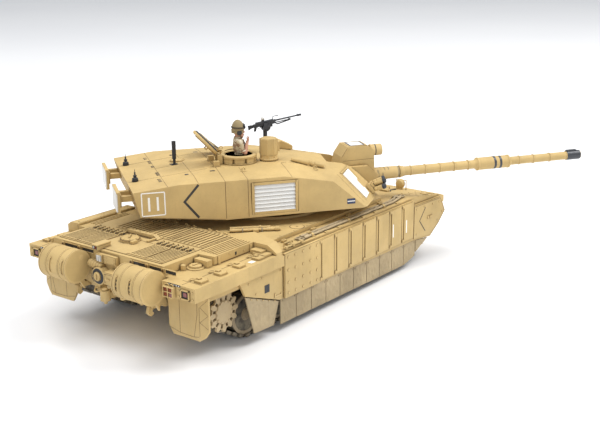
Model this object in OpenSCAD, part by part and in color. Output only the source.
// Radio-controlled battle tank at 1:35, built as an assembly of separate pieces.
// +X points to the front of the hull, +Y to its left and +Z up.
// The origin is on the ground, under the middle of the outline.
// The turret rests turned to the right, with the gun raised a little and the crew hatches open.

/* [Hull] */
// Height of the engine deck above the ground
deck_z = 48.4; // [48:0.1:48.6]
// Height of the fenders above the ground
fender_z = 43.7; // [43.5:0.1:44]
// Height of the belly plate above the ground
belly_z = 14.3; // [13:0.1:15]
// Half of the width over the armour skirts
skirt_y = 60; // [59.5:0.1:61]
// Half of the width of the chassis tub between the tracks
tub_y = 27.5; // [26.5:0.1:27.6]
// Distance from the rear datum to the nose
nose_x = 232.5; // [230:0.5:236]
// Distance from the rear datum to the turret's axis
turret_x = 125.6; // [124:0.1:127]

/* [Running gear] */
// Number of road wheels on each side
wheel_count = 6; // [6:1:6]
// Distance between road wheels
wheel_pitch = 27.4; // [26.5:0.1:27.4]
// Radius of a road wheel
wheel_r = 10.8; // [10:0.1:10.9]
// Distance from the hull's middle to the middle of a track
track_y = 39.6; // [39.4:0.1:39.8]
// Width of a track
track_w = 18.6; // [18:0.1:18.8]
// Number of links in each track
link_count = 78; // [60:1:84]
// Number of teeth on each sprocket ring
sprocket_teeth = 12; // [10:1:14]

/* [Turret] */
// Angle of the turret from straight ahead, negative to the right
turret_yaw = -36; // [-40:1:-30]
// Height of the turret roof at its middle
roof_z = 75.3; // [74:0.1:76]
// Half of the turret's width
turret_y = 44.5; // [43:0.1:45]
// Distance from the turret's axis to its rear face
bustle_u = 85; // [83:0.5:86]

/* [Gun] */
// Height of the gun's axis at its trunnion
trunnion_z = 58.8; // [58:0.1:59.5]
// Rest elevation of the gun
gun_up = 0.8; // [0:0.1:1.5]
// Distance from the turret's axis to the muzzle
muzzle_u = 206; // [200:1:210]
// Radius of the barrel's sleeve
barrel_r = 2.5; // [2.2:0.1:2.8]

/* [Hidden] */
$fn = 48;

SAND = "#d8bf8a";
DARK = "#3a3a3a";
STEEL = "#8a8a86";
WHITE = "#f2f0ea";
RUBBER = "#4a4843";
BOARD = "#2f6b3f";

LEFT = 1;
RIGHT = -1;
FAR = 400;

// Hull plan and heights
side_y = skirt_y - 3;
wall = 1.6;
guard_z = 33;
glacis_x = 196;
fender_x = -2.7;
hull_x = 2.4;
flap_x = 5.0;
flap_t = 1.3;
flap_top_z = 36.4;
box_z = 49.6;
plateau_z = 47;
roof_plate_z = 45.8;
ring_r = 27;

// Track loop: mid-line radii round its four turning circles
belt_t = 1.0;
pad_t = 0.9;
wheel_gap = 0.15;
wheel_mid_r = wheel_r + wheel_gap + belt_t / 2;
wheel_z = wheel_mid_r + belt_t / 2 + pad_t;
first_wheel_x = 184.2;
last_wheel_x = first_wheel_x - (wheel_count - 1) * wheel_pitch;
sprocket_x = 27;
sprocket_z = 20.9;
sprocket_mid_r = 9.0;
idler_x = 207;
idler_z = 21.5;
idler_mid_r = 9.2;
roller_r = 3.2;
roller_x = [last_wheel_x + 1.5 * wheel_pitch, last_wheel_x + 3.5 * wheel_pitch];
track_half = track_w / 2;

LOOP = [
    [last_wheel_x, wheel_z, wheel_mid_r],
    [first_wheel_x, wheel_z, wheel_mid_r],
    [idler_x, idler_z, idler_mid_r],
    [sprocket_x, sprocket_z, sprocket_mid_r]
];

// Turret features, in the turret's own axes
cupola_at = [-20, -9.5];
cupola_r = 10.3;
loader_at = [-16, 13];
sight_at = [-2.6, -10.6];
pintle_at = [1.0, 10.5];
trunnion_u = 46;
slot_v = 11.6;
mount_v = 11.0;

// Middle of the outline, which puts the origin under it
rear_most = -15.8;
front_most = turret_x + muzzle_u * cos(turret_yaw) + barrel_r;
right_most = muzzle_u * sin(turret_yaw) - barrel_r;
left_most = bustle_u * sin(-turret_yaw) + turret_y * cos(turret_yaw);
middle_x = (rear_most + front_most) / 2;
middle_y = (right_most + left_most) / 2;

// ---------- helpers ----------

// Everything on the hull: x forward from the rear datum, y from the middle, z from the ground
module on_hull() translate([-middle_x, -middle_y, 0]) children();

// Everything on the turret: u forward from the turret's axis, v to its left
module on_turret() on_hull() translate([turret_x, 0, 0]) rotate([0, 0, turret_yaw]) children();

// Everything on the gun: forward from the trunnion
module on_gun() on_turret() translate([trunnion_u, 0, trunnion_z]) rotate([0, -gun_up, 0]) children();

// Shapes are drawn for the right side and mirrored for the left
module on_side(side) mirror([0, side > 0 ? 1 : 0, 0]) children();

module both_sides() {
    children();
    mirror([0, 1, 0]) children();
}

// Polygon in the X-Z plane, extruded from y0 to y1
module side_prism(points, y0, y1)
    translate([0, y1, 0]) rotate([90, 0, 0]) linear_extrude(y1 - y0) polygon(points);

// Polygon in the Y-Z plane, extruded from x0 to x1
module cross_prism(points, x0, x1)
    translate([x0, 0, 0]) rotate([90, 0, 90]) linear_extrude(x1 - x0) polygon(points);

module plan_prism(points, z0, z1)
    translate([0, 0, z0]) linear_extrude(z1 - z0) polygon(points);

module block(x0, x1, y0, y1, z0, z1)
    translate([x0, y0, z0]) cube([x1 - x0, y1 - y0, z1 - z0]);

// Round bar along Y
module y_bar(x, z, r, y0, y1, sides = 48)
    translate([x, y1, z]) rotate([90, 0, 0]) cylinder(r = r, h = y1 - y0, $fn = sides);

// Round bar along X
module x_bar(y, z, r, x0, x1, sides = 48)
    translate([x0, y, z]) rotate([0, 90, 0]) cylinder(r = r, h = x1 - x0, $fn = sides);

// Solid that fills everything on the far side of a plane through p with normal n
module beyond(p, n)
    translate(p) rotate([0, acos(n.z / norm(n)), atan2(n.y, n.x)])
        translate([-FAR / 2, -FAR / 2, 0]) cube(FAR);

// Gear outline with straight-sided teeth
function gear_points(teeth, root_r, tip_r, root_share, tip_share) = [
    for (i = [0 : teeth - 1])
        for (p = [[-root_share, root_r], [-tip_share, tip_r], [tip_share, tip_r], [root_share, root_r]])
            let (a = (i + p[0]) * 360 / teeth) [p[1] * cos(a), p[1] * sin(a)]
];

// ---------- track path ----------

// Direction of the outward normal of the straight run after circle i
function run_normal(i) =
    let (a = LOOP[i], b = LOOP[(i + 1) % 4], d = [b.x - a.x, b.y - a.y])
    atan2(d.y, d.x) - acos((a.z - b.z) / norm(d));

function run_length(i) =
    let (a = LOOP[i], b = LOOP[(i + 1) % 4], d = norm([b.x - a.x, b.y - a.y]))
    sqrt(d * d - (a.z - b.z) * (a.z - b.z));

function arc_start(i) = run_normal((i + 3) % 4);

function arc_sweep(i) = (run_normal(i) - arc_start(i) + 720) % 360;

function arc_length(i) = LOOP[i].z * arc_sweep(i) * PI / 180;

function loop_length(i = 0) = i > 3 ? 0 : arc_length(i) + run_length(i) + loop_length(i + 1);

// Point at distance s along the loop and offset d outward
function loop_point(s, d, i = 0) =
    s < arc_length(i)
        ? let (a = arc_start(i) + s / LOOP[i].z * 180 / PI, r = LOOP[i].z + d)
            [LOOP[i].x + r * cos(a), LOOP[i].y + r * sin(a)]
        : s < arc_length(i) + run_length(i)
            ? let (a = run_normal(i), r = LOOP[i].z + d, t = s - arc_length(i))
                [LOOP[i].x + r * cos(a) - t * sin(a), LOOP[i].y + r * sin(a) + t * cos(a)]
            : loop_point(s - arc_length(i) - run_length(i), d, i + 1);

module track_outline() {
    pitch = loop_length() / link_count;
    belt = belt_t / 2;
    difference() {
        polygon([
            for (k = [0 : link_count - 1])
                for (p = [[0, belt], [0.16, belt], [0.2, belt + pad_t], [0.84, belt + pad_t], [0.88, belt]])
                    loop_point((k + p[0]) * pitch, p[1])
        ]);
        polygon([
            for (k = [0 : link_count - 1])
                for (p = [[0, -belt], [0.5, -belt]])
                    loop_point((k + p[0]) * pitch, p[1])
        ]);
    }
}

module track(side) color(RUBBER) on_hull() on_side(side)
    translate([0, -track_y + track_half, 0]) rotate([90, 0, 0]) linear_extrude(track_w) track_outline();

// ---------- running gear ----------

// Wheel turned about Y: two rubber-tyred discs with a gap for the guide horns, bored for its axle
module twin_wheel(r, bore_r, outer_y, cap_r) {
    disc = 6.4;
    inner_y = outer_y + 16.1;
    rotate([90, 0, 0]) translate([0, 0, -inner_y]) rotate_extrude() polygon([
        [bore_r, 0], [cap_r, 0], [cap_r, 2.4], [r - 2.6, 2.4], [r - 1.8, 0], [r, 0],
        [r, disc], [cap_r, disc], [cap_r, 9.7], [r, 9.7], [r, 9.7 + disc], [r - 1.8, 9.7 + disc],
        [r - 2.6, 7.3 + disc], [cap_r + 1.4, 7.3 + disc], [cap_r, 9.7 + disc],
        [0, 9.7 + disc], [0, 7.9 + disc], [bore_r, 7.9 + disc]
    ]);
}

wheel_outer_y = -(track_y + 8.05);
axle_r = 1.5;
axle_gap = 0.06;

module road_wheel(side, place) color(SAND) on_hull() on_side(side)
    translate([first_wheel_x - (place - 1) * wheel_pitch, 0, wheel_z])
        twin_wheel(wheel_r, axle_r + axle_gap, wheel_outer_y, 3.4);

module idler(side) color(SAND) on_hull() on_side(side)
    translate([idler_x, 0, idler_z])
        twin_wheel(idler_mid_r - belt_t / 2 - wheel_gap, axle_r + axle_gap, wheel_outer_y, 3.2);

// Mid-line height of the top run at x
function top_run_z(x) =
    let (a = LOOP[2], n = run_normal(2), z0 = a.y + a.z * sin(n), x0 = a.x + a.z * cos(n))
    z0 + (x - x0) * tan(n - 90);

function roller_z(i) = top_run_z(roller_x[i]) - belt_t / 2 - wheel_gap - roller_r;

module return_roller(side, i) color(SAND) on_hull() on_side(side)
    translate([roller_x[i], 0, roller_z(i)]) rotate([90, 0, 0])
        translate([0, 0, track_y - 8]) rotate_extrude() polygon([
            [axle_r + axle_gap - 0.4, 0], [roller_r, 0], [roller_r, 5], [2.2, 5], [2.2, 9],
            [roller_r, 9], [roller_r, 14], [0, 14], [0, 12.8], [axle_r + axle_gap - 0.4, 12.8]
        ]);

// Toothed ring of a sprocket, lightened by slots
module sprocket_ring(y_out, thick) {
    tip_r = 10.5;
    root_r = 8.9;
    slot_r = 7.3;
    translate([0, y_out + thick, 0]) rotate([90, 0, 0]) linear_extrude(thick) difference() {
        polygon(gear_points(sprocket_teeth, root_r, tip_r, 0.3, 0.12));
        for (i = [0 : sprocket_teeth - 1])
            rotate((i + 0.5) * 360 / sprocket_teeth) translate([slot_r, 0])
                square([2.2, 1.5], center = true);
    }
}

sprocket_axle_r = 2.4;

module sprocket(side) color(SAND) on_hull() on_side(side) translate([sprocket_x, 0, sprocket_z]) {
    track_out = track_y + track_half;
    track_in = track_y - track_half;
    drum_r = sprocket_mid_r - belt_t / 2 - 0.5;
    difference() {
        union() {
            sprocket_ring(-track_out - 1.8, 1.4);
            sprocket_ring(-track_in + 0.4, 1.4);
            y_bar(0, 0, drum_r, -track_out - 0.5, -track_y - 1.9);
            y_bar(0, 0, drum_r, -track_y + 1.9, -track_in + 0.5);
            y_bar(0, 0, 4.4, -track_y - 2, -track_y + 2);
            y_bar(0, 0, 3.0, -track_in + 0.4, -tub_y - 0.4);
            y_bar(0, 0, sprocket_axle_r, -tub_y - 1, -tub_y + 5.5);
        }
        y_bar(0, 0, 5.2, -track_out - 3, -track_out + 3.6);
    }
    y_bar(0, 0, 3.0, -track_out - 0.2, -track_out + 4);
    for (a = [0 : 45 : 315])
        rotate([0, a, 0]) translate([4.1, -track_out + 2.8, 0]) rotate([90, 0, 0])
            cylinder(r = 0.45, h = 1.6, $fn = 6);
}

// ---------- hull ----------

// Side outline of the whole hull above the tracks
HULL_SIDE = [
    [hull_x, guard_z], [hull_x, fender_z], [glacis_x, fender_z],
    [nose_x - 4, 38.6], [nose_x, 37], [nose_x, guard_z]
];

// Side outline of the chassis tub
TUB_SIDE = [
    [10, 31], [12, 24], [30, belly_z], [206, belly_z], [222, 22], [230, 31]
];

module lower_hull() color(SAND) on_hull() {
    arm_y = track_y - 8.4;
    difference() {
        union() {
            side_prism(TUB_SIDE, -tub_y, tub_y);
            // swing arms and stub axles of the road wheels
            both_sides() for (i = [0 : wheel_count - 1])
                translate([first_wheel_x - i * wheel_pitch, 0, wheel_z]) {
                    y_bar(0, 0, 2.8, -arm_y + 0.5, -tub_y + 0.5);
                    y_bar(0, 0, axle_r, -track_y - 6, -arm_y + 1);
                    rotate([0, 32, 0]) block(0, 9, -tub_y - 2.2, -tub_y + 0.5, -1.7, 1.7);
                }
            both_sides() {
                y_bar(idler_x, idler_z, 2.8, -arm_y + 0.5, -tub_y + 0.5);
                y_bar(idler_x, idler_z, axle_r, -track_y - 6, -arm_y + 1);
                for (i = [0, 1]) {
                    y_bar(roller_x[i], roller_z(i), 2.0, -track_y + 8.1, -tub_y + 0.5);
                    y_bar(roller_x[i], roller_z(i), axle_r - 0.4, -track_y - 4.2, -track_y + 9);
                }
            }
        }
        // hollow for the drive, the battery and the electronics
        side_prism([
            [13, 32], [15, 25.5], [31, belly_z + wall], [205.4, belly_z + wall], [220, 23], [227, 32]
        ], -tub_y + wall, tub_y - wall);
        y_bar(sprocket_x, sprocket_z, sprocket_axle_r + axle_gap, -tub_y - 5, tub_y + 5);
        // battery door opening in the belly
        block(96, 154, -15, 15, belly_z - 1, belly_z + wall + 1);
        // slot for the power switch
        block(176, 186, -2.6, 2.6, belly_z - 1, belly_z + wall + 1);
        // screw holes into the upper hull's posts
        for (p = SCREWS) translate([p.x, p.y, belly_z - 1]) cylinder(r = screw_r + 0.25, h = 4);
    }
}

door_hinge = [97.4, belly_z + 1.0];

module battery_door() color(SAND) on_hull() {
    difference() {
        union() {
            block(door_hinge.x - 0.5, 153.7, -14.7, 14.7, belly_z, belly_z + 1.3);
            y_bar(door_hinge.x, door_hinge.y, 0.9, -10, 10, 24);
        }
        block(146, 150, -3, 3, belly_z - 0.5, belly_z + 0.7);
    }
    block(152.3, 153.5, -3, 3, belly_z + 0.5, belly_z + wall + 1.4);
}

module power_switch() color(DARK) on_hull() {
    block(177, 181, -1.6, 1.6, belly_z - 1.1, belly_z + wall + 0.6);
    block(176.6, 181.4, -4.2, 4.2, belly_z + wall + 0.2, belly_z + wall + 1.2);
}

// Plan of the raised engine deck; its left side reaches further out behind the stowage box
DECK_PLAN = [
    [hull_x, -35], [26.6, -35], [27.8, -44.7], [58, -44.7], [58, -31], [59.4, -27.4],
    [59.4, 27.4], [58, 31], [58, 51.5], [24, 51.5], [24, 45.5], [hull_x, 45.5]
];

// Plan of the sloped box that closes the deck in front, right side
BOX_PLAN = [[57.6, -30], [57.6, -skirt_y], [62, -skirt_y], [65.2, -54], [71.7, -34], [66, -30]];

// Plan of the roof plate round the turret
ROOF_PLAN = [[59, -27], [72, -46], [176, -46], [195, -24], [195, 24], [176, 46], [72, 46], [59, 27]];

// Places of the screws that join the two halves of the hull
SCREWS = [for (x = [50, 168], y = [-20, 20]) [x, y]];
screw_r = 0.9;

// Opening that the engine deck closes: x from, x to, y from, y to
OPENING = [4.4, 57.3, -31.6, 43.9];
ledge_z = 46.5;

module sloped_box() intersection() {
    low = fender_z - 0.4;
    cross_prism([
        [-30, low], [-30, deck_z], [-54, deck_z], [-skirt_y, fender_z + 1.3], [-skirt_y, low]
    ], 57, 72);
    plan_prism(BOX_PLAN, low - 1, deck_z + 1);
}

module upper_hull() color(SAND) on_hull() difference() {
    union() {
        difference() {
            side_prism(HULL_SIDE, -side_y, side_y);
            side_prism([
                [hull_x + wall, guard_z - 1], [hull_x + wall, fender_z - wall],
                [glacis_x - 0.5, fender_z - wall], [nose_x - 4.5, 36.9],
                [nose_x - wall, 35.5], [nose_x - wall, guard_z - 1]
            ], -side_y + wall, side_y - wall);
        }
        // guards over the tracks
        both_sides() block(hull_x + 0.5, nose_x - 0.5, -side_y + 0.5, -tub_y + 0.6, guard_z, guard_z + 1.2);
        // fender corners at the rear
        both_sides()
            side_prism([[fender_x, 36.6], [fender_x, fender_z], [4, fender_z], [4, 36.6]], -skirt_y, -38.6);
        both_sides() side_prism([
            [fender_x, 36.6], [fender_x, fender_z], [61, fender_z], [63.9, 42], [63.9, 36.7]
        ], -skirt_y, -side_y + 0.5);
        // raised engine deck, the box at each side of its front and the long box on the left
        plan_prism(DECK_PLAN, fender_z - 1, deck_z);
        both_sides() sloped_box();
        cross_prism([
            [50.8, fender_z - 0.4], [50.8, box_z], [57.4, box_z],
            [skirt_y, box_z - 1.8], [skirt_y, fender_z - 0.4]
        ], 24, 66);
        // raised roof under the turret
        plan_prism(ROOF_PLAN, fender_z - 1, roof_plate_z);
        translate([turret_x, 0, fender_z - wall]) cylinder(r = 33, h = plateau_z - fender_z + wall, $fn = 96);
        // posts that the chassis screws hold
        for (p = SCREWS) translate([p.x, p.y, belly_z + wall + 0.1])
            cylinder(r = 2.6, h = fender_z - belly_z - wall - 1);
    }
    // the mudflaps hang in front of the rear wall's lower corners
    both_sides()
        block(fender_x - 1, flap_x + flap_t + 0.1, -side_y - 0.1, -34, guard_z - 1, flap_top_z + 0.1);
    translate([turret_x, 0, 30]) cylinder(r = ring_r, h = 30, $fn = 96);
    // well of the driver's hatch, and the hole of its pin
    translate([driver_at.x, driver_at.y, 30]) cylinder(r = 6, h = 30);
    translate([driver_pin.x, driver_pin.y, 30]) cylinder(r = 1 + axle_gap, h = 30);
    // opening under the engine deck, with a ledge for it to lie on
    block(OPENING[0], OPENING[1], OPENING[2], OPENING[3], ledge_z, deck_z + 5);
    block(6, 45, -17, 17, fender_z - 5, deck_z);
    for (p = SCREWS) translate([p.x, p.y, belly_z - 1]) cylinder(r = screw_r + 0.05, h = 12);
}

module chassis_screws() color(STEEL) on_hull() for (p = SCREWS) translate([p.x, p.y, 0]) {
    translate([0, 0, belly_z - 0.7]) cylinder(r = 1.9, h = 0.7);
    translate([0, 0, belly_z - 0.1]) cylinder(r = screw_r, h = 9);
}

// Grilles of the engine deck: x from, x to, y from, y to, distance between bars
GRILLES = [
    [5.6, 23.6, -30.6, -20, 1.5], [5.6, 23.6, -19, -7, 1.5],
    [5.6, 23.6, 18.7, 30.2, 1.5], [5.6, 23.6, 31.2, 43.0, 1.5],
    [33.4, 56.4, -30.6, -8.4, 2.8], [33.4, 56.4, -7.0, 8.2, 2.8], [33.4, 56.4, 9.6, 31.6, 2.8]
];

module engine_deck() color(SAND) on_hull() {
    top = deck_z + 0.3;
    gap = 0.3;
    difference() {
        union() {
            block(OPENING[0] + gap, OPENING[1] - gap, OPENING[2] + gap, OPENING[3] - gap,
                ledge_z + 0.05, top);
            // frames round the grilles
            for (g = GRILLES) block(g[0], g[1], g[2], g[3], top - 0.2, top + 0.4);
        }
        // grooves between the bars
        for (g = GRILLES) for (y = [g[2] + 0.8 : g[4] : g[3] - 0.8])
            block(g[0] + 0.8, g[1] - 0.8, y, y + g[4] / 2, top - 0.5, top + 2);
    }
    // hinge blocks between the rear and the front grilles
    for (y0 = [-29.4, 18.4], i = [0 : 6])
        block(25.4, 28, y0 + 3.4 * i, y0 + 3.4 * i + 1.2, top - 0.2, top + 1.1);
    // filler cover, lifting beam and rear box
    translate([21.5, 8, top - 0.2]) cylinder(r = 5.2, h = 1.4);
    cross_prism([[-4, top - 0.2], [-1, top + 2.1], [19, top + 2.1], [23, top - 0.2]], 29.8, 32.2);
    block(0.4, 9.4, 9.5, 13.5, deck_z + 0.05, 51.1);
}

// Body of a drum about its axis, with rolled seams and raised ends
module drum_body(length) {
    r = drum_r;
    rim = 0.8;
    end = 0.6;
    seam = length * 0.28;
    bead = 0.35;
    rotate([90, 0, 0]) rotate_extrude() polygon([
        [0, end], [r - rim, end], [r - rim, 0], [r, 0],
        [r, seam - bead], [r + 0.2, seam], [r, seam + bead],
        [r, length - seam - bead], [r + 0.2, length - seam], [r, length - seam + bead],
        [r, length], [r - rim, length], [r - rim, length - end], [0, length - end]
    ]);
}

drum_r = 8.6;
drum_x = -6.8;
drum_z = 40.4;
drum_y0 = 16.8;
drum_y1 = 37;

module drum(side) color(SAND) on_hull() on_side(side)
    translate([drum_x, -drum_y0, drum_z]) drum_body(drum_y1 - drum_y0);

module drum_brackets() color(SAND) on_hull() both_sides() for (y = [-33, -21]) difference() {
    side_prism([[-0.1, 26], [-0.1, 43], [-6.8, 43], [-6.8, 33], [-2.6, 30]], y - 0.8, y + 0.8);
    y_bar(drum_x, drum_z, drum_r + 0.02, y - 2, y + 2);
}

module mudflaps() color(SAND) on_hull() both_sides() cross_prism([
        [-34.2, flap_top_z], [-34.2, 18], [-37, 13.6], [-54.2, 13.6], [-54.2, flap_top_z]
    ], flap_x, flap_x + flap_t);

module lamps() color("#8c2f23") on_hull() both_sides() {
    block(fender_x - 2.4, fender_x, -47.5, -41, 37, 42.4);
    block(fender_x - 0.9, fender_x, -56.6, -51, 37.2, 42.2);
    x_bar(-33, 43.9, 3, nose_x - 16.5, nose_x - 13.1);
    difference() {
        block(nose_x - 16, nose_x - 13.6, -34.4, -31.6, 38, 43);
        side_prism(HULL_SIDE, -side_y, side_y);
    }
}

// Outline of the backing plate behind the skirt panels
SKIRT = [
    [34.4, 28.4], [30.4, 36.4], [63.9, 36.4], [63.9, 42.4], [192.9, 42.4], [192.9, 39], [226, 38.2],
    [nose_x - 0.6, 27.5], [224.7, 21.2], [213.8, 14.6], [193, skirt_low_z(193)], [61.4, skirt_low_z(61.4)]
];

module skirt(side) color(SAND) on_hull() on_side(side) {
    panel_w = 13.94;
    panel_x = 95.3;
    outer = -skirt_y;
    side_prism(SKIRT, -side_y - 1.5, -side_y - 0.1);
    // bolted plate and its bolts
    block(64.6, panel_x - 0.5, outer + 0.3, -side_y - 1.4, 18.5, 42.9);
    for (x = [67.5, 73.5, 80, 86.5, 92.3], z = [20.8, 26.6, 33.4, 40.4])
        translate([x, outer + 0.35, z]) rotate([90, 0, 0]) cylinder(r = 0.75, h = 0.35, $fn = 6);
    // ribbed panels
    for (i = [0 : 6]) {
        x = panel_x + i * panel_w;
        block(x, x + panel_w - 0.35, outer + 0.9, -side_y - 1.4, 18.9, 42.1);
        block(x + 2.0, x + panel_w - 2.4, outer + 0.4, outer + 1.1, 19.2, 41.8);
        for (z = [19.9, 41.1]) translate([x + 0.9, outer + 1, z]) rotate([90, 0, 0])
            cylinder(r = 0.75, h = 0.9, $fn = 6);
    }
    // front panel
    side_prism([[193.4, 17.6], [193.4, 38.4], [225, 37.6], [230.6, 27.6], [223.6, 21.8], [214, 16]],
        outer + 0.9, -side_y - 1.4);
}

// Lower edge of the armour skirt at x
function skirt_low_z(x) = x < 193 ? 18.6 - (x - 61.4) * 2 / 131.6 : 16.6 - (x - 193) * 2 / 20.8;

module rubber_skirt(side) color(RUBBER) on_hull() on_side(side) {
    y0 = -side_y - 1.2;
    y1 = -side_y - 0.2;
    gap = 0.15;
    // flap behind the sprocket opening
    side_prism([[34.6, 27.9], [41, 6.6], [56.7, 6.0], [61.2, 17.9]], y0, y1);
    for (i = [0 : 9]) {
        x0 = 62.6 + i * 13.4;
        x1 = x0 + 12.9;
        low = 4.6 - 0.14 * i;
        side_prism([
            [x0, skirt_low_z(x0) - gap], [x0, low], [x1, low + (i == 9 ? 3 : 0)], [x1, skirt_low_z(x1) - gap]
        ], y0, y1);
    }
    side_prism([[197, skirt_low_z(197) - 0.2], [197, 8.4], [211, 14.2]], y0, y1);
}

// Points of one tow cable along the top of a skirt
CABLE = [[90, -54.2], [176, -54.2], [188, -52]];

module tow_cables() color(STEEL) on_hull() both_sides() {
    z = fender_z + 0.9;
    for (shift = [0, 2.4]) for (i = [0 : len(CABLE) - 2]) {
        a = CABLE[i];
        b = CABLE[i + 1];
        translate([a.x, a.y + shift, z]) rotate([0, 90, atan2(b.y - a.y, b.x - a.x)])
            cylinder(r = 0.8, h = norm(b - a), $fn = 16);
        translate([b.x, b.y + shift, z]) sphere(r = 0.8, $fn = 16);
    }
    for (x = [94, 128, 164]) block(x, x + 2.4, -55.8, -50.6, fender_z, fender_z + 2.2);
}

// Tools on the roof: start, length and turn of each
TOOLS = [[68.8, -18.6, 27.4, -45], [72, -16, 22, -45], [68.8, 18.6, 27.4, 45]];

module deck_tools() color(SAND) on_hull() {
    z = roof_plate_z + 1.0;
    for (tool = TOOLS) translate([tool[0], tool[1], z]) rotate([0, 90, tool[3]])
        cylinder(r = 0.8, h = tool[2], $fn = 16);
    // clamps across the tools
    both_sides()
        plan_prism([[76, -29.2], [79.1, -26.1], [81.2, -28.2], [78.1, -31.3]], roof_plate_z + 0.05, z + 0.6);
}

module tow_fittings() color(SAND) on_hull() {
    // rear wall between the drums
    side_prism([[3.2, 32.9], [9.4, 32.9], [9.4, 31], [11.4, 24], [9.4, 24], [3.2, 30]], -tub_y, tub_y);
    block(hull_x - 0.9, hull_x - 0.05, -15, 15, 33.5, 42.8);
    // lamp box under the deck's rear edge
    block(0.2, hull_x - 0.05, -4, 10, 42.6, 47.2);
    // phone box and round cover
    block(-4.4, hull_x - 0.5, -6.5, 0.5, 33.8, 40.4);
    x_bar(6.5, 36.4, 4.2, -2.6, hull_x - 0.5, 32);
    // hitch
    block(-4.5, 10, -2.2, 2.2, 26.4, 29.6);
    translate([-4.6, 0, 25.6]) difference() {
        cylinder(r = 2.6, h = 5.2);
        translate([0, 0, -1]) cylinder(r = 1.2, h = 8);
    }
    // hooks at both corners
    both_sides() {
        block(2, 9, -27.4, -24.6, 25.2, 28);
        side_prism([
            [2.2, 28], [-0.6, 26.6], [-1.4, 23.4], [0.4, 21.6], [2.4, 22.6], [1.2, 24.2], [2.2, 25.4]
        ], -27, -25);
    }
    both_sides() difference() {
        block(nose_x - 6, nose_x + 1.2, -21.6, -18.4, 28.4, 31);
        side_prism(TUB_SIDE, -tub_y, tub_y);
    }
}

// ---------- drive and electronics ----------

module gearbox_housing() color(DARK) on_hull() difference() {
    union() {
        side_prism([[22, 24.5], [31, 17], [46, 17], [46, 30], [22, 30]], -tub_y + 7.4, tub_y - 7.4);
        for (y = [-12, 12]) block(44, 56, y - 1, y + 1, 17, 19);
    }
    y_bar(sprocket_x, sprocket_z + 1.4, 1.0, -30, 30);
    for (y = [-10, 10]) x_bar(y, 24.6, 1.3, 40, 60);
}

module drive_motors() color(STEEL) on_hull() for (y = [-10, 10]) {
    x_bar(y, 24.6, 5.4, 46.1, 66);
    x_bar(y, 24.6, 0.9, 42, 47);
    x_bar(y, 24.6, 2.4, 65.5, 67.4);
}

module battery_pack() color(DARK) on_hull() for (y = [-11, 0, 11])
    x_bar(y, belly_z + wall + 7.2, 5.2, 99, 149);

module control_board() color(BOARD) on_hull() {
    block(158, 182, -17, 17, 25, 26.4);
    block(162, 172, -6, 6, 26.3, 28.2);
    for (y = [-14, 10]) block(160, 166, y, y + 4, 26.3, 30);
    for (y = [-16, 15]) for (x = [159, 180]) translate([x, y, belly_z + wall]) cylinder(r = 1, h = 9.2);
}

driver_at = [186, 0];
driver_pin = [180.5, -8];

module driver_hatch() color(SAND) on_hull() {
    z = roof_plate_z + 0.1;
    translate([driver_at.x, driver_at.y, z]) cylinder(r = 6.8, h = 1.2);
    translate([driver_at.x, driver_at.y, z + 1.1]) cylinder(r = 4.6, h = 0.6);
    plan_prism([[driver_pin.x - 1.6, driver_pin.y], [driver_pin.x + 1.6, driver_pin.y - 0.8],
        [driver_at.x + 2, -3], [driver_at.x - 4, -2]], z, z + 1.2);
    translate([driver_pin.x, driver_pin.y, z]) cylinder(r = 1.9, h = 1.6);
    translate([driver_pin.x, driver_pin.y, z - 3]) cylinder(r = 1, h = 4);
}

// ---------- turret ----------

ring_teeth = 66;
pinion_teeth = 11;
gear_module = 0.7;
gear_z0 = 38.2;
gear_z1 = 40.4;
pinion_distance = gear_module * (ring_teeth + pinion_teeth) / 2 + 0.12;
pinion_angle = 90;

module spur(teeth, z0, z1) {
    pitch_r = gear_module * teeth / 2;
    translate([0, 0, z0]) linear_extrude(z1 - z0)
        polygon(gear_points(teeth, pitch_r - 0.95 * gear_module, pitch_r + 0.75 * gear_module, 0.33, 0.12));
}

module turret_base() color(SAND) on_turret() difference() {
    union() {
        spur(ring_teeth, gear_z0, gear_z1);
        translate([0, 0, gear_z1 - 0.4]) cylinder(r = 22, h = 3, $fn = 96);
        translate([0, 0, gear_z1 + 2.2]) cylinder(r = ring_r - axle_gap, h = plateau_z - gear_z1, $fn = 96);
        translate([0, 0, plateau_z + 0.25]) cylinder(r = 30, h = turret_bottom - plateau_z - 0.25, $fn = 96);
    }
    translate([0, 0, 30]) cylinder(r = 19, h = 30, $fn = 96);
}

// The pinion and its motor hang under the hull's roof beside the ring
module at_pinion() on_hull() translate([turret_x, 0, 0])
    translate([pinion_distance * cos(pinion_angle), pinion_distance * sin(pinion_angle), 0]) children();

// Angle that puts a tooth gap of the pinion on the ring's tooth
pinion_turn = 180 + pinion_angle
    + (pinion_angle - turret_yaw) * ring_teeth / pinion_teeth + 180 / pinion_teeth;

module traverse_pinion() color(STEEL) at_pinion() {
    rotate(pinion_turn) spur(pinion_teeth, gear_z0 + 0.1, gear_z1 - 0.3);
    translate([0, 0, 35.2]) cylinder(r = 0.8, h = 4);
}

module traverse_motor() color(STEEL) at_pinion() difference() {
    translate([0, 0, guard_z + 1.25]) cylinder(r = 4.6, h = 2.6);
    translate([0, 0, 34.8]) cylinder(r = 0.8 + axle_gap, h = 6);
}

turret_bottom = 51.8;

// Side outline of the turret
TURRET_SIDE = [
    [-bustle_u, 70.6], [-81.6, 57], [-36, turret_bottom], [60.5, turret_bottom],
    [61.8, turret_bottom + 1.1], [47.6, 67.4], [30, roof_z], [-40, roof_z]
];

// Plan of the turret, right half from the rear
TURRET_PLAN = [
    [-bustle_u, 0], [-bustle_u, -turret_y], [43.4, -turret_y], [52.3, -38], [61.8, -12], [61.8, 0]
];

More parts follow.
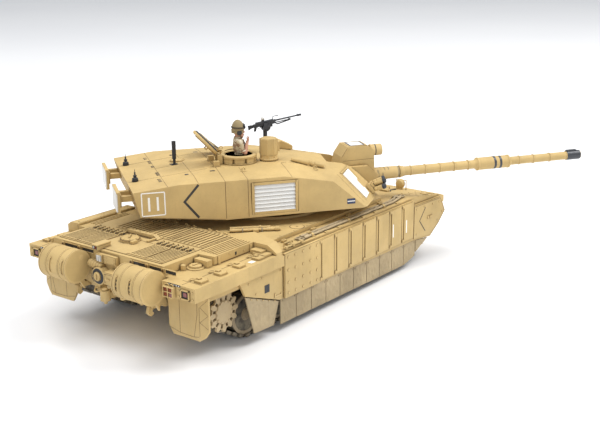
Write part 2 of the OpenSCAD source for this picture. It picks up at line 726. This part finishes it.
module turret_solid() intersection() {
    side_prism(TURRET_SIDE, -turret_y - 1, turret_y + 1);
    cross_prism([
        [-turret_y, 50], [turret_y, 50], [turret_y - 1.2, 73.1],
        [20, roof_z], [-20, roof_z], [-turret_y + 1.2, 73.1]
    ], -bustle_u - 1, 63);
    plan_prism(concat(TURRET_PLAN, [for (i = [4 : -1 : 1]) [TURRET_PLAN[i].x, -TURRET_PLAN[i].y]]), 45, 80);
}

// Faces that slope down to the front of the turret, right side
module front_slopes() {
    beyond(cheek_point, cheek_normal);
    beyond([-2, -43.3, 73.1], [0.1745, -0.151, 1]);
}

module turret_shell() color(SAND) on_turret() difference() {
    turret_solid();
    both_sides() front_slopes();
    // slot for the gun mount
    block(32, 70, -slot_v, slot_v, 40, 90);
    // hollow
    intersection() {
        side_prism([
            [-78, 68.8], [-76, 58.8], [-36, 54.2], [28, 54.2], [28, 66], [18, 70.4], [-2, 73.4], [-40, 73.4]
        ], -turret_y + 3, turret_y - 3);
        cross_prism([
            [-turret_y + 3, 50], [turret_y - 3, 50], [turret_y - 4, 69],
            [20, 73.4], [-20, 73.4], [-turret_y + 4, 69]
        ], -80, 40);
    }
    translate([0, 0, 45]) cylinder(r = 24, h = 10, $fn = 96);
    translate([cupola_at.x, cupola_at.y, 65]) cylinder(r = 7.8, h = 20);
    translate([loader_at.x, loader_at.y, 65]) cylinder(r = 7.2, h = 20);
    // seats of the louvred panels
    both_sides() block(-21.3, 5.2, -turret_y - 1, -turret_y + panel_seat, 53.2, 71.0);
}

panel_seat = 1.9;
cheek_point = [44, -44.5, 52.5];
cheek_normal = [1, -0.64, 1.22];

// Draws on the surface of a plane through p with normal n: local x runs down the slope
module on_plane(p, n)
    translate(p) rotate([0, acos(n.z / norm(n)), atan2(n.y, n.x)]) children();

// White identification panels: louvred on the sides, boxed at the rear, plain on the front slopes
module marker_panels() color(WHITE) on_turret() {
    both_sides() {
        block(-21.0, 4.9, -turret_y + panel_seat - 0.6, -turret_y + panel_seat, 53.5, 70.7);
        for (edge = [[-21.0, -19.8, 53.5, 70.7], [3.7, 4.9, 53.5, 70.7]])
            block(edge[0], edge[1], -turret_y + 0.6, -turret_y + panel_seat - 0.5, edge[2], edge[3]);
        for (z = [53.5, 69.6]) block(-20, 4, -turret_y + 0.6, -turret_y + panel_seat - 0.5, z, z + 1.1);
        for (i = [0 : 6])
            translate([-19.9, -turret_y + 1.2, 55.4 + i * 2.15]) rotate([24, 0, 0]) cube([23.7, 0.4, 1.9]);
        on_plane(cheek_point, cheek_normal) linear_extrude(0.5) polygon([
            [-21.5, 9.8], [-22, 22.6], [-14.3, 22.3], [-13.2, 19.6],
            [-8.2, 19.6], [-7.4, 20.8], [-3.4, 19.8], [-2.6, 10.6]
        ]);
    }
    for (v = [-38, 15]) {
        block(-93, -91, v, v + 20, 58.6, 70.2);
        difference() {
            for (w = [v + 3, v + 14]) block(-91.1, -80, w, w + 3, 64, 67);
            turret_solid();
        }
    }
}

module cupola() color(SAND) on_turret() {
    translate([cupola_at.x, cupola_at.y, 0]) difference() {
        union() {
            translate([0, 0, roof_z]) cylinder(r = cupola_r, h = 0.8);
            translate([0, 0, roof_z]) cylinder(r = cupola_r - 1.4, h = 4.0);
            translate([0, 0, roof_z + 3.4]) cylinder(r = cupola_r, h = 1.2);
            // periscopes
            for (i = [0 : 8]) rotate(i * 40 + 20) translate([cupola_r - 2.2, -2.6, roof_z + 0.7])
                cube([1.7, 5.2, 2.8]);
        }
        translate([0, 0, roof_z - 5]) cylinder(r = 7.7, h = 20);
    }
}

hatch_hinge = [cupola_at.x - 11.6, roof_z + 4.9];
hatch_open = 133;

module commander_hatch() color(SAND) on_turret()
    translate([hatch_hinge.x, cupola_at.y, hatch_hinge.y]) rotate([0, -hatch_open, 0]) {
        translate([10.6, 0, -0.5]) cylinder(r = 9, h = 1.5);
        translate([10.6, 0, 0.9]) cylinder(r = 6.6, h = 0.7);
        block(0, 4, -2.6, 2.6, -0.5, 0.9);
        y_bar(0, 0, 0.9, -3, 3, 24);
    }

loader_hinge = [loader_at.x - 9, roof_z + 1.6];
loader_open = 146;

module loader_hatch() color(SAND) on_turret()
    translate([loader_hinge.x, loader_at.y, loader_hinge.y]) rotate([0, -loader_open, 0]) {
        translate([9.2, 0, -0.6]) cylinder(r = 8, h = 1.2);
        translate([9.2, 0, 0.5]) cylinder(r = 5.6, h = 0.6);
        block(0, 4, -2.4, 2.4, -0.6, 0.6);
        y_bar(0, 0, 0.8, -3, 3, 24);
    }

module panoramic_sight() color(SAND) on_turret() translate([sight_at.x, sight_at.y, 0]) {
    translate([0, 0, roof_z + 0.1]) cylinder(r = 5, h = 3.2);
    translate([0, 0, roof_z + 3.2]) rotate(22.5) cylinder(r = 5.2, h = 9.4, $fn = 8);
    translate([2, -2, roof_z + 5]) cube([4, 4, 5.4]);
}

mg_up = 9;
mg_height = 16.6;

module gun_pintle() color(DARK) on_turret() translate([pintle_at.x, pintle_at.y, roof_z]) {
    cradle = mg_height - 3.6;
    translate([0, 0, 0.1]) cylinder(r = 2.6, h = 1.6);
    translate([0, 0, 1]) cylinder(r = 1.3, h = cradle + 0.4);
    for (v = [-2.2, 1.4]) block(-1.6, 1.6, v, v + 0.8, cradle, mg_height + 0.8);
    block(-1.6, 1.6, -2.2, 2.2, cradle, cradle + 1);
    // ammunition box
    block(-3, 6, 2.6, 7, cradle - 1.6, mg_height + 0.4);
    block(-1, 1, 1.8, 3, cradle, cradle + 1);
}

module machine_gun() color(DARK) on_turret()
    translate([pintle_at.x, pintle_at.y, roof_z + mg_height]) rotate([0, -mg_up, 0]) {
    // receiver, spade grips and top cover
    block(-7.4, 6, -1.1, 1.1, -0.8, 1.8);
    block(-10.4, -7.4, -0.8, 0.8, -0.9, 0.9);
    block(-2, 2.4, -0.9, 0.9, 1.7, 2.6);
    block(-9.6, -8.4, -0.6, 0.6, -3.2, -0.5);
    // barrel, gas tube and muzzle
    x_bar(0, 0.9, 0.6, 5, 21, 16);
    x_bar(0, -0.3, 0.4, 5, 15, 16);
    x_bar(0, 0.9, 0.85, 19, 21.4, 16);
    // pin in the cradle
    y_bar(0, 0, 0.5, -1.34, 1.34, 16);
}

module smoke_launchers() color(SAND) on_turret() both_sides() {
    on_plane(cheek_point, cheek_normal) translate([-7.5, 23.6, 0]) cube([6.5, 8.6, 4.4]);
    for (i = [0 : 4])
        translate([58.6 - 0.25 * i, -17.6 - i * 1.7, i % 2 == 0 ? 56.4 : 59.2])
            rotate([0, 66, -12 - i * 9]) cylinder(r = 1.35, h = 7.4, $fn = 24);
}

module crew_figure() color("#a08457") on_turret() translate([cupola_at.x + 0.6, cupola_at.y, 0]) {
    translate([0, 0, 74]) cylinder(r1 = 5.2, r2 = 5.6, h = 6);
    translate([0, 0, 79.8]) cylinder(r1 = 5.6, r2 = 4.4, h = 9);
    translate([0, 0, 88]) cylinder(r = 2, h = 3);
    translate([0, 0, 95]) sphere(r = 4.6, $fn = 32);
    translate([0.5, -5, 87]) rotate([0, 118, 20]) cylinder(r = 1.5, h = 7);
    translate([0.5, 5, 87]) rotate([0, 118, -20]) cylinder(r = 1.5, h = 7);
}

// ---------- gun ----------

module gun_mount() color(SAND) on_gun() {
    // mantlet
    side_prism([
        [-6, -5], [-6, 5], [0, 8.2], [12, 8.2], [17.4, 3], [17.4, -3.5], [12, -6.2], [0, -6.2]
    ], -mount_v, mount_v);
    // sight box over the gun
    side_prism([[-5, 7.6], [-3.4, 14], [0.5, 19.6], [14, 19.2], [17, 16.4], [17.4, 2.8]], -7.4, 7.4);
    // sight head
    x_bar(0, 15, 3.4, 16.8, 24, 32);
    y_bar(0, 0, 2, -mount_v - 0.3, mount_v + 0.3);
}

module gun_barrel() color(SAND) on_gun() {
    reach = muzzle_u - trunnion_u;
    // the whole barrel is turned about its axis: canvas collar, sleeve, fume extractor, muzzle
    difference() {
        rotate([0, 90, 0]) rotate_extrude() polygon([
            [0, 17.5], [3.9, 17.5], [3.7, 34], [3.0, 35], [3.0, 38],
            [barrel_r + 0.35, 38], [barrel_r + 0.3, 60], [barrel_r + 0.2, 86],
            [3.9, 88], [3.9, 109], [barrel_r + 0.1, 111], [barrel_r, 150],
            [barrel_r + 0.25, 150], [barrel_r + 0.25, reach], [0, reach]
        ]);
        x_bar(0, 0, 1.7, reach - 20, reach + 1, 32);
    }
}

lower_hull();
upper_hull();
engine_deck();
drum(LEFT);  // drum_left
drum(RIGHT);  // drum_right
drum_brackets();
mudflaps();
lamps();
skirt(LEFT);  // skirt_left
skirt(RIGHT);  // skirt_right
rubber_skirt(LEFT);  // rubber_skirt_left
rubber_skirt(RIGHT);  // rubber_skirt_right
tow_cables();
deck_tools();
tow_fittings();
chassis_screws();
gearbox_housing();
drive_motors();
battery_pack();
control_board();
battery_door();
power_switch();
driver_hatch();
track(LEFT);  // track_left
track(RIGHT);  // track_right
sprocket(LEFT);  // sprocket_left
sprocket(RIGHT);  // sprocket_right
idler(LEFT);  // idler_left
idler(RIGHT);  // idler_right
road_wheel(LEFT, 1);  // road_wheel_left_1
road_wheel(LEFT, 2);  // road_wheel_left_2
road_wheel(LEFT, 3);  // road_wheel_left_3
road_wheel(LEFT, 4);  // road_wheel_left_4
road_wheel(LEFT, 5);  // road_wheel_left_5
road_wheel(LEFT, 6);  // road_wheel_left_6
road_wheel(RIGHT, 1);  // road_wheel_right_1
road_wheel(RIGHT, 2);  // road_wheel_right_2
road_wheel(RIGHT, 3);  // road_wheel_right_3
road_wheel(RIGHT, 4);  // road_wheel_right_4
road_wheel(RIGHT, 5);  // road_wheel_right_5
road_wheel(RIGHT, 6);  // road_wheel_right_6
return_roller(LEFT, 0);  // return_roller_left_1
return_roller(LEFT, 1);  // return_roller_left_2
return_roller(RIGHT, 0);  // return_roller_right_1
return_roller(RIGHT, 1);  // return_roller_right_2
turret_shell();
turret_base();
traverse_pinion();
traverse_motor();
cupola();
commander_hatch();
loader_hatch();
marker_panels();
panoramic_sight();
gun_pintle();
machine_gun();
smoke_launchers();
crew_figure();
gun_mount();
gun_barrel();
